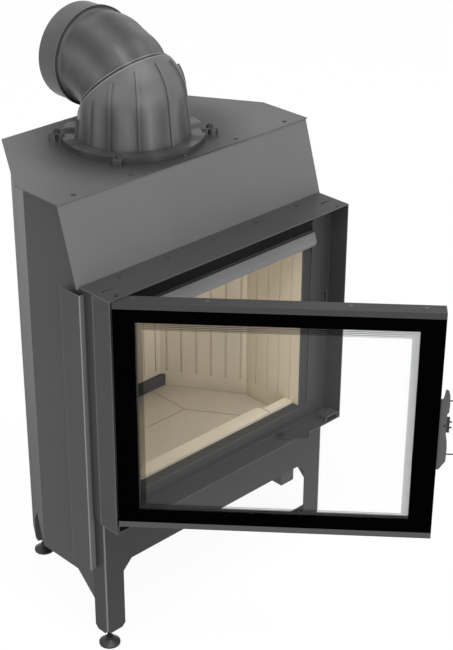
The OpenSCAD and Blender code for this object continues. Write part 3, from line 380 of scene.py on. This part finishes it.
def matt_paint(name, colour, gloss=0.3, rub_and_highlight=(0.4, 2.0, 0.0016), foot_shade=None):
    """Heat-proof paint: a fine skin, faint clouds, scuffs, and rubbed edges with a painted
    highlight.

    The three parts of the edge setting are how much of the edges is lighter, from rubbed
    paint and a painted highlight, how much lighter it is there, and how wide the edges are.
    The foot setting is how much of the colour is left at the foot, as painted shade.
    """
    finish = Finish(name)
    pebble = finish.noise(1100.0, detail=2.0)
    cloud = finish.noise(2.6, detail=4.0)
    smear = finish.noise(9.0, place=finish.stretched(1.0, 1.0, 0.35))
    scuff = finish.step(finish.noise(70.0, detail=5.0, roughness=0.7), 0.62, 0.75)
    tone = finish.mix(finish.step(cloud, 0.3, 0.72), shade(colour, 0.93), shade(colour, 1.07))
    tone = finish.mix(scuff * 0.25, tone, shade(colour, 1.25))
    # Painted shade: the colour darkens towards the foot.
    if foot_shade is not None:
        height = finish.axes()[2]
        tone = finish.mix(finish.step(height, 0.1, 1.05), shade(colour, foot_shade), tone)
    share, lighter, width = rub_and_highlight
    # Lighter edges: rubbed paint and a painted highlight.
    tone = finish.mix(finish.edges(width) * share, tone, shade(colour, lighter))
    return finish.surface(Base_Color=tone, Metallic=0.0, Specular_IOR_Level=gloss,
                          Roughness=0.40 + cloud * 0.08 + smear * 0.10,
                          Normal=finish.bump(pebble, depth=0.00005, strength=0.4))


def lit(finish, share, colour):
    """Lays another shade of paint over a painted finish."""
    under = finish.shader.inputs["Base Color"].links[0].from_socket
    return finish.surface(Base_Color=finish.mix(share, Sock(finish.tree, under), colour))


def lit_lip(finish, colour):
    """Paints light on the folded lip of a side strip, and a brighter painted highlight on its
    outer corner.
    """
    across, y, _ = finish.axes()
    lip = y < LIP_BACK
    lit(finish, lip, shade(colour, 2.6))
    return lit(finish, lip * (abs(across) > LIP_CORNER), shade(colour, 5.0))


def lit_corner(finish, colour):
    """Paints a highlight on the outer corner of the front legs."""
    across, y, _ = finish.axes()
    return lit(finish, (abs(across) > LEG_CORNER) * (y < LEG_FRONT), shade(colour, 5.0))


def flue_shadow_ring(finish, colour):
    """Paints a shadow on the top sheet around the flue."""
    x, y, _ = finish.axes()
    far = y - DRUM_AT[1]
    reach = (x * x + far * far) ** 0.5 + finish.noise(5.0) * 0.06
    return lit(finish, 1.0 - finish.step(reach, *RING_REACH), shade(colour, 0.22))


def slot_soot_and_shadow(finish):
    """Blackens what lies in the slot over the mouth, behind the air-wash bar's nose: it is
    sooty and in painted shadow.
    """
    size = sizes()
    across, _, height = finish.axes()
    slot = ((height > size.soot_and_shadow_above) * (abs(across) < size.slot_half_w)
            * (height < size.soot_and_shadow_below))
    soot_and_shadow = finish.node("BsdfDiffuse", Color=tuple(colours().soot_and_shadow), Roughness=1.0)
    return finish.show(finish.mix_shaders(slot, finish.painted(), soot_and_shadow))


def cast_skin(name, colour, bent):
    """Painted casting: sand texture, shallow pillows between its ribs with painted shade in
    their valleys, and rubbed edges with a painted highlight.

    It is the bent elbow, or else the upright drum with its flange.
    """
    finish = Finish(name)
    x, y, z = finish.axes()
    if bent:
        along = (y - BEND_AT[1]).minimum(0.0)
        rise = z - BEND_AT[2]
        out = (along * along + rise * rise) ** 0.5 - BEND_R
        turn = x.angle_to(out)
        fade = 1.0 - finish.step(y, *(BEND_AT[1] + past for past in BEND_FADE))
        pillows, depth = BENT_PILLOWS
    else:
        turn = x.angle_to(DRUM_AT[1] - y)
        fade = 1.0 - finish.step(z, *CROWN)
        pillows, depth = DRUM_PILLOWS
    pillow = (turn * pillows).sine() * fade
    sand = finish.noise(480.0, detail=4.0, roughness=0.6)
    dips = finish.noise(30.0, detail=2.0)
    cloud = finish.noise(6.0)
    edge = finish.edges(0.003)
    tone = finish.mix(finish.step(cloud, 0.3, 0.7), shade(colour, 0.88), shade(colour, 1.12))
    # Lighter edges: rubbed paint and a painted highlight.
    tone = finish.mix(edge * 0.35, tone, shade(colour, 2.2))
    if bent:
        # Painted shade in the creases beside the bead.
        off_bead = abs(y - BEAD_Y)
        beside = finish.step(off_bead, *BEAD_LINE_IN) - finish.step(off_bead, *BEAD_LINE_OUT)
        tone = finish.mix(beside * 0.65, tone, shade(colour, 0.08))
    else:
        # The flange is painted darker than the drum: painted shade.
        flange = 1.0 - finish.step(z, *FLANGE_TOP)
        tone = finish.mix(flange * 0.6, tone, shade(colour, 0.2))
    # The pillows' valleys are painted darker: painted shade.
    valley = (fade - pillow) * 0.5
    tone = finish.mix(valley * (0.75 if bent else 0.65), tone, shade(colour, 0.35))
    off_joint = abs((y - JOINT_AT[1]) + (z - JOINT_AT[2])) * math.sqrt(0.5)
    # A painted highlight on the lips beside the joint.
    tone = finish.mix(1.0 - finish.step(off_joint, *LIPS_REACH), tone, shade(colour, 1.7))
    tone = finish.mix(1.0 - finish.step(off_joint, *SEAM_REACH), tone, shade(colour, 0.1))
    dimpled = finish.bump(dips, depth=0.001, strength=0.35)
    rough = finish.bump(sand, depth=0.0002, strength=0.5, under=dimpled)
    return finish.surface(Base_Color=tone, Metallic=0.0, Specular_IOR_Level=0.3,
                          Roughness=0.34 + dips * 0.14,
                          Normal=finish.bump(pillow, depth, under=rough))


def pressed_board(name, colour, edge_dark, flake_size=1.0, edge_reach=0.0015,
                  lit_front=False):
    """Vermiculite board: flakes, grains, soft clouds, pits and darker edges.

    edge_dark is how dark the edges are, as far in as edge_reach, and the last setting makes
    the boards beside the mouth paler with painted light.
    """
    finish = Finish(name)
    flakes = finish.cells(330.0 / flake_size)
    grains = finish.noise(520.0, roughness=0.65)
    cloud = finish.noise(7.0, detail=4.0)
    pits = finish.step(finish.noise(140.0, detail=2.0), 0.63, 0.72)
    fleck = finish.step(finish.noise(260.0, detail=2.0), 0.56, 0.66)
    tone = finish.mix(finish.step(cloud, 0.32, 0.7), shade(colour, 0.95), shade(colour, 1.05))
    tone = finish.mix(fleck * 0.25, tone, shade(colour, 1.18))
    tone = finish.mix(pits * 0.3, tone, shade(colour, 0.7))
    tone = finish.mix(finish.edges(edge_reach) * edge_dark, tone, shade(colour, 0.22))
    # Painted light on the boards beside the mouth.
    if lit_front:
        front = 1.0 - finish.step(finish.axes()[1], *SIDE_BOARDS_END)
        tone = finish.mix(front * 0.5, tone, shade(colour, 1.5))
    height = grains * 0.6 + flakes * 0.4 - pits * 0.5
    return finish.surface(Base_Color=tone, Roughness=0.88,
                          Normal=finish.bump(height, depth=0.0004, strength=0.5))


def zinc_plate(name, colour, threads_above=None):
    """Dull zinc plating with a faint crystal pattern, and threads on a foot's stem."""
    finish = Finish(name)
    spangle = finish.cells(240.0)
    smear = finish.noise(60.0)
    tone = finish.mix(spangle, shade(colour, 0.75), shade(colour, 1.2))
    normal = finish.bump(smear, depth=0.0001, strength=0.4)
    if threads_above is not None:
        height = finish.axes()[2]
        turns = (height * (2 * math.pi / sizes().thread_pitch)).sine()
        stem = height > threads_above
        # The thread's troughs are painted darker: painted shade.
        tone = finish.mix(stem * (0.5 - turns * 0.5), tone, shade(colour, 0.25))
        normal = finish.bump(turns * stem, depth=0.0004, under=normal)
    return finish.surface(Base_Color=tone, Metallic=0.8, Roughness=0.32 + smear * 0.2,
                          Normal=normal)


def woven_rope(name, colour):
    """Braided rope: strands that cross on the slant."""
    finish = Finish(name)
    x, y, z = finish.axes(finish.turned(HINGE_AT, DOOR_OPEN))
    turns = 2 * math.pi / STRAND_EVERY
    strand = (abs(((x + z) * turns).sine())
              .maximum(abs(((x - z + y) * turns).sine())))
    fuzz = finish.noise(1500.0, detail=2.0)
    # Darker between the strands and lighter on them: painted shade and light.
    tone = finish.mix(strand, shade(colour, 0.5), shade(colour, 1.5))
    return finish.surface(Base_Color=tone, Roughness=0.95,
                          Normal=finish.bump(strand + fuzz * 0.3, depth=0.0009,
                                             strength=0.8))


def printed_glass(name):
    """Clear glass with a printed black border and a band of dots inside it."""
    finish = Finish(name)
    size = sizes()
    x, y, z = finish.axes(finish.turned(HINGE_AT, DOOR_OPEN))
    along = x + (HINGE_AT.x - GLASS_CORNER.x)
    above = z - GLASS_CORNER.z
    width, height = GLASS_SIZE
    side = (along - size.border_hinge).minimum((width - size.border_latch) - along)
    rise = (above - size.border_bottom).minimum((height - size.border_top) - above)
    inside = side.minimum(rise)
    row = (above / size.dot_pitch).floor()
    u = (along / size.dot_pitch + (row * 0.5).fract()).fract() - 0.5
    v = (above / size.dot_pitch).fract() - 0.5
    reach = 0.43 - inside / size.dot_band * 0.05
    outer_face = y < GLASS_CORNER.y - HINGE_AT.y + 0.001
    dots = ((u * u + v * v) ** 0.5 < reach) * (inside < size.dot_band) * outer_face
    printed = (inside < 0.0).maximum(dots)
    clear = finish.node("BsdfTransparent", Color=(0.985, 0.99, 0.985))
    gloss = finish.node("BsdfGlossy", Color=(1, 1, 1), Roughness=0.02)
    pane = finish.mix_shaders(finish.node("Fresnel", IOR=1.45) * 0.3, clear, gloss)
    speck = finish.noise(700.0, detail=2.0)
    finish.surface(Base_Color=tuple(colours().print_black), Specular_IOR_Level=0.0,
                   Roughness=0.3 + speck * 0.05)
    return finish.show(finish.mix_shaders(printed, pane, finish.painted()))


class INSERT_OT_casing(bpy.types.Operator):
    """Paints the sheet metal of the casing, the surround and the door"""

    bl_idname = "insert.casing"
    bl_label = "Casing paint"

    def execute(self, context):
        colour = colours().paint
        # Each piece gets its own lighter or darker copy of the casing paint: painted light and
        # shade, lighter on the hood, the top and the chamfer wall, darker on the walls,
        # strips, legs, door, surround, seat and firebox steel.
        top = shade(colour, 1.45)
        # The top plate is a lighter copy of the paint with a painted shadow around the flue.
        paint(["top_plate"], flue_shadow_ring(matt_paint("top_paint", top, gloss=0.35), top))
        paint(["hood_panel"], matt_paint("hood_paint", shade(colour, 1.72), gloss=0.35))
        paint(WALLS, matt_paint("wall_paint", shade(colour, 0.72)))
        # The left chamfer wall gets a lighter copy of the paint that darkens towards its foot:
        # painted light and shade.
        paint(["chamfer_wall_left"], matt_paint("chamfer_paint", shade(colour, 1.8),
                                                gloss=0.1, foot_shade=0.1))
        strip = shade(colour, 0.7)
        # The strips' lips are painted lighter and their outer corners get a painted highlight.
        paint(STRIPS, lit_lip(matt_paint("strip_paint", strip, rub_and_highlight=(0.9, 4.0, 0.003)), strip))
        leg = shade(colour, 0.52)
        # The legs' paint has lighter edges and a painted highlight on their outer corners.
        leg_finish = matt_paint("leg_paint", leg, gloss=0.22, rub_and_highlight=(0.7, 3.0, 0.002))
        paint(LEGS, lit_corner(leg_finish, leg))
        door = matt_paint("door_paint", shade(colour, 0.5), gloss=0.25)
        # The door's lower rail gets a lighter copy of the paint than the rest of the frame:
        # painted light.
        low_rail = door.axes()[2] < LOW_RAIL_TOP
        paint(["door_frame"], lit(door, low_rail * 0.8, tuple(colour)))
        paint(["latch_plate"], matt_paint("latch_paint", colour))
        paint(SURROUND, matt_paint("surround_paint", shade(colour, 0.7), gloss=0.2,
                                   rub_and_highlight=(0.75, 3.3, 0.0032)))
        paint(FIREBOX_STEEL, matt_paint("firebox_steel", shade(colour, 0.6), gloss=0.2))
        seat = matt_paint("seat_paint", shade(colour, 0.65), gloss=0.2,
                          rub_and_highlight=(1.0, 4.0, 0.0032))
        # In the slot over the mouth the seat frame and the air-wash bar are painted sooty
        # black, with painted shadow.
        paint(["seat_frame"], slot_soot_and_shadow(seat))
        # The air-wash bar is a much lighter copy of the paint: painted light.
        air_bar = matt_paint("air_bar_paint", shade(colour, 2.7), gloss=0.35)
        paint(["air_wash_bar"], slot_soot_and_shadow(air_bar))
        return {"FINISHED"}


class INSERT_OT_castings(bpy.types.Operator):
    """Paints the cast flue base and elbow"""

    bl_idname = "insert.castings"
    bl_label = "Flue castings"

    def execute(self, context):
        casting = colours().casting
        # The drum and the elbow each get their own lighter copy of the casting paint: painted
        # light.
        paint(["flue_base"], cast_skin("cast_base", shade(casting, 1.55), bent=False))
        paint(["flue_elbow"], cast_skin("cast_elbow", shade(casting, 1.3), bent=True))
        return {"FINISHED"}


class INSERT_OT_firebox(bpy.types.Operator):
    """Gives the lining, the hearth and the log guard their board finishes"""

    bl_idname = "insert.firebox"
    bl_label = "Firebox boards"

    def execute(self, context):
        brick = colours().brick
        paint(LINING, pressed_board("lining_board", colours().board, edge_dark=0.45,
                                    lit_front=True))
        paint(HEARTH, pressed_board("hearth_brick", brick, flake_size=1.25,
                                    edge_dark=0.75, edge_reach=0.003))
        paint(FENCE, pressed_board("guard_brick", shade(brick, 1.15), flake_size=1.25,
                                   edge_dark=0.3))
        return {"FINISHED"}


class INSERT_OT_hardware(bpy.types.Operator):
    """Plates the feet, pins, screws and nuts"""

    bl_idname = "insert.hardware"
    bl_label = "Feet, screws and pins"

    def execute(self, context):
        paint(FEET, zinc_plate("foot_zinc", colours().zinc, threads_above=STEM_FROM))
        paint(SMALL_ZINC, zinc_plate("pin_zinc", colours().zinc))
        paint(DARK_BOLTS, matt_paint("bolt_paint", shade(colours().paint, 0.5), gloss=0.4))
        screws = zinc_plate("screw_zinc", shade(colours().zinc, 2.2))
        # Screws low in the channel beside the strips are painted much lighter: a painted
        # highlight.
        low = screws.axes()[2] < CHANNEL_TOP
        paint(SCREWS, lit(screws, low, shade(colours().zinc, 7.0)))
        paint(["latch_cam"], matt_paint("cam_paint", shade(colours().paint, 0.25)))
        return {"FINISHED"}


class INSERT_OT_door(bpy.types.Operator):
    """Gives the door its glass, its printed border and its rope seal"""

    bl_idname = "insert.door"
    bl_label = "Door glass and seal"

    def execute(self, context):
        paint(["door_glass"], printed_glass("printed_glass"))
        paint(["door_gasket"], woven_rope("woven_rope", colours().rope))
        return {"FINISHED"}


class INSERT_OT_studio(bpy.types.Operator):
    """Sets up the floor, the world, the lamps and the camera"""

    bl_idname = "insert.studio"
    bl_label = "Studio"

    # name: place, what it is turned to, its side in metres, its power in watts
    LAMPS = {
        "top_lamp": ((-0.2, -1.2, 4.2), (0, 0.2, 0.9), 2.6, 105),
        "left_lamp": ((-4.0, -0.6, 2.6), (0, 0.2, 0.7), 2.4, 40),
        "front_lamp": ((-1.0, -4.4, 1.0), (0, 0.2, 0.75), 2.4, 78),
    }

    def execute(self, context):
        scene = context.scene
        scene.view_settings.view_transform = "Standard"
        self.floor(scene)
        self.world(scene)
        for name, facts in self.LAMPS.items():
            self.lamp(scene, name, *facts)
        self.camera(scene)
        return {"FINISHED"}

    @staticmethod
    def floor(scene):
        bm = bmesh.new()
        bmesh.ops.create_grid(bm, x_segments=1, y_segments=1, size=14.0)
        mesh = bpy.data.meshes.new("studio_floor")
        bm.to_mesh(mesh)
        bm.free()
        floor = bpy.data.objects.new("studio_floor", mesh)
        scene.collection.objects.link(floor)
        finish = Finish("studio_floor")
        finish.surface(Base_Color=(0.9, 0.9, 0.9), Roughness=0.9)
        glow = finish.node("Emission", Color=(1, 1, 1), Strength=1.02)
        finish.show(finish.mix_shaders(finish.seen() * 0.93, finish.painted(), glow))
        mesh.materials.append(finish.material)

    @staticmethod
    def world(scene):
        world = scene.world or bpy.data.worlds.new("studio")
        scene.world = world
        world.use_nodes = True
        tree = world.node_tree
        inputs = tree.nodes["Background"].inputs
        plug(tree, inputs["Color"], (1, 1, 1))
        plug(tree, inputs["Strength"], 0.6 + Graph(tree).seen() * 0.4)

    @staticmethod
    def lamp(scene, name, at, target, side, watts):
        light = bpy.data.lights.new(name, "AREA")
        light.shape = "SQUARE"
        light.size = side
        light.energy = watts
        lamp = bpy.data.objects.new(name, light)
        lamp.location = at
        lamp.rotation_euler = (Vector(target) - Vector(at)).to_track_quat("-Z", "Y").to_euler()
        scene.collection.objects.link(lamp)

    @staticmethod
    def camera(scene):
        lens = bpy.data.cameras.new("photo_camera")
        lens.sensor_fit = "VERTICAL"
        lens.sensor_height = SENSOR_MM
        lens.lens = FOCAL_PX / PHOTO_H * SENSOR_MM
        lens.clip_end = 50
        camera = bpy.data.objects.new("photo_camera", lens)
        back = -CAMERA_FORWARD.normalized()
        side = CAMERA_UP.cross(back).normalized()
        up = back.cross(side)
        camera.matrix_world = Matrix.Translation(CAMERA_AT) @ Matrix(
            (side, up, back)).transposed().to_4x4()
        scene.collection.objects.link(camera)
        scene.camera = camera


class INSERT_PT_panel(bpy.types.Panel):
    """Lists the insert's operators with its sizes and colours"""

    bl_label = "Fireplace insert"
    bl_space_type = "VIEW_3D"
    bl_region_type = "UI"
    bl_category = "Insert"

    def draw(self, context):
        for operator in OPERATORS:
            self.layout.operator(operator.bl_idname)
        for group in (context.scene.insert_colours, context.scene.insert_sizes):
            for key in group.__annotations__:
                self.layout.prop(group, key)


OPERATORS = (INSERT_OT_casing, INSERT_OT_castings, INSERT_OT_firebox,
             INSERT_OT_hardware, INSERT_OT_door, INSERT_OT_studio)
CLASSES = (InsertColours, InsertSizes) + OPERATORS + (INSERT_PT_panel,)


def register():
    for cls in CLASSES:
        bpy.utils.register_class(cls)
    bpy.types.Scene.insert_colours = PointerProperty(type=InsertColours)
    bpy.types.Scene.insert_sizes = PointerProperty(type=InsertSizes)


def unregister():
    del bpy.types.Scene.insert_sizes
    del bpy.types.Scene.insert_colours
    for cls in reversed(CLASSES):
        bpy.utils.unregister_class(cls)


def main():
    register()
    bpy.ops.insert.casing()
    bpy.ops.insert.castings()
    bpy.ops.insert.firebox()
    bpy.ops.insert.hardware()
    bpy.ops.insert.door()
    bpy.ops.insert.studio()


if __name__ == "__main__":
    main()
